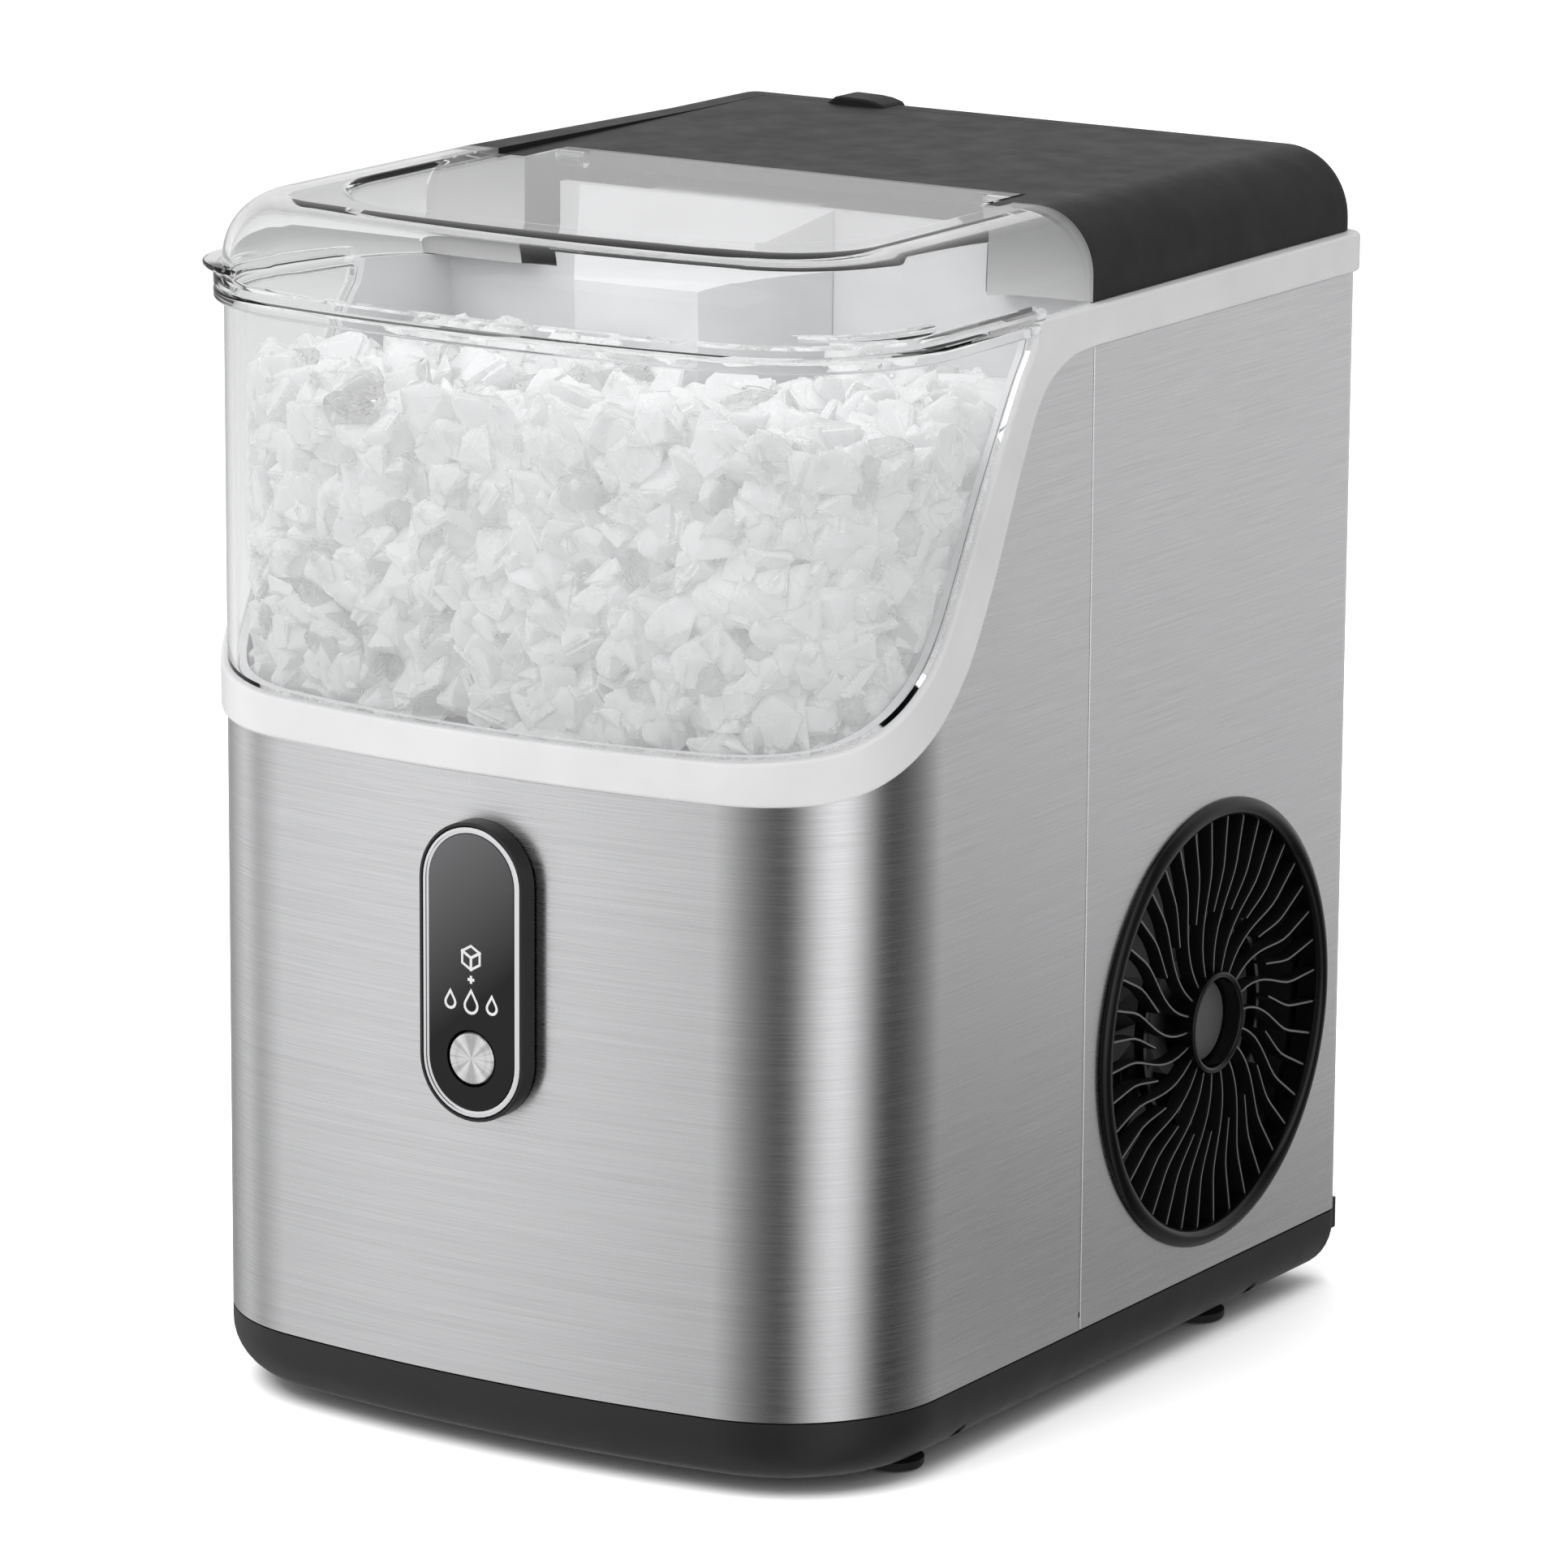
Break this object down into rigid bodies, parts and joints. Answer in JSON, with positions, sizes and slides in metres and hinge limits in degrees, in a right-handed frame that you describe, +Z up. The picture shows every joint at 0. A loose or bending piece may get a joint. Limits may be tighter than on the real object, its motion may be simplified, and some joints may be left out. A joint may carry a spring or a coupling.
{
  "type": "ice maker",
  "caption": "Countertop nugget ice maker: brushed steel casing, clear ice window and hinged clear lid, pill-shaped control panel, round fan grille, dark base and rear cover.",
  "frame": {"origin": "on the floor under the middle of the whole object's bounding box", "axes": "front towards -Y, +X to the right seen from the front, +Z up"},
  "size_m": [0.2308, 0.294, 0.3396],
  "materials": {
    "steel": "brushed, satin",
    "galvanised": "dull zinc",
    "black_plastic": "satin charcoal",
    "gloss_black": "polished black",
    "white_plastic": "satin white",
    "clear_plastic": "clear, polished",
    "chrome": "mirror plated",
    "rubber": "matt black",
    "grey_plastic": "satin grey",
    "cast_metal": "black enamel",
    "copper": "bare copper",
    "aluminium": "mill finish",
    "circuit": "green board",
    "ice": "frosted clear ice"
  },
  "bodies": {
    "cabinet": {"base_tray": "black_plastic", "foot_front_left": "rubber", "foot_front_right": "rubber", "foot_rear_left": "rubber", "foot_rear_right": "rubber", "front_wrap": "steel", "side_panel_right": "steel", "side_panel_left": "steel", "rear_panel": "galvanised", "trim_band": "white_plastic", "ice_window": "clear_plastic", "inner_liner": "white_plastic", "ice_chute": "white_plastic", "ice_pile": "ice", "lid_hinge_pin_left": "steel", "lid_hinge_pin_right": "steel", "top_cover": "black_plastic", "control_panel_housing": "black_plastic", "panel_ring": "chrome", "panel_face": "gloss_black", "button_switch": "gloss_black", "button_board": "circuit", "fan_grille": "black_plastic", "grille_centre_plate": "grey_plastic", "fan_shroud": "black_plastic", "fan_motor": "galvanised", "condenser": "aluminium", "evaporator_barrel": "steel", "barrel_insulation": "white_plastic", "extruder_head": "steel", "ice_duct": "white_plastic", "gearbox_housing": "aluminium", "gear_motor": "galvanised", "compressor": "cast_metal", "discharge_pipe": "copper", "suction_pipe": "copper", "water_reservoir": "white_plastic", "water_pump": "black_plastic", "water_tube": "clear_plastic", "drain_spout": "black_plastic", "control_board": "circuit", "power_inlet": "black_plastic", "rear_screw_1": "galvanised", "rear_screw_2": "galvanised", "rear_screw_3": "galvanised", "rear_screw_4": "galvanised", "rear_screw_5": "galvanised", "rear_screw_6": "galvanised"},
    "lid": {"lid": "clear_plastic"},
    "button": {"power_button": "steel"},
    "fan": {"fan_rotor": "grey_plastic"},
    "auger": {"auger": "steel", "auger_gear": "galvanised"},
    "pinion": {"motor_pinion": "galvanised"},
    "plug": {"drain_plug": "rubber"}
  },
  "joints": [
    {"name": "lid_hinge", "type": "hinge", "parent": "cabinet", "child": "lid", "pos_m": [0, 0.0085, 0.3342], "axis": [-1, 0, 0], "range_deg": [0, 100]},
    {"name": "button_press", "type": "slide", "parent": "cabinet", "child": "button", "axis": [0, 1, 0], "range_m": [0, 0.0012], "stiffness_N_per_m": 900, "springref_m": -0.0012},
    {"name": "fan_spin", "type": "hinge", "parent": "cabinet", "child": "fan", "pos_m": [0.094, 0.063, 0.0955], "axis": [1, 0, 0], "continuous": true},
    {"name": "auger_spin", "type": "hinge", "parent": "cabinet", "child": "auger", "pos_m": [-0.02, 0.042, 0.2], "axis": [0, 0, 1], "continuous": true},
    {"name": "pinion_spin", "type": "hinge", "parent": "cabinet", "child": "pinion", "pos_m": [-0.02, -0.006, 0.136], "axis": [0, 0, 1], "continuous": true},
    {"name": "drain_plug_pull", "type": "slide", "parent": "cabinet", "child": "plug", "axis": [0, 1, 0], "range_m": [0, 0.02]}
  ],
  "couplings": [
    {"joint": "pinion_spin", "follows": "auger_spin", "ratio": -3}
  ]
}
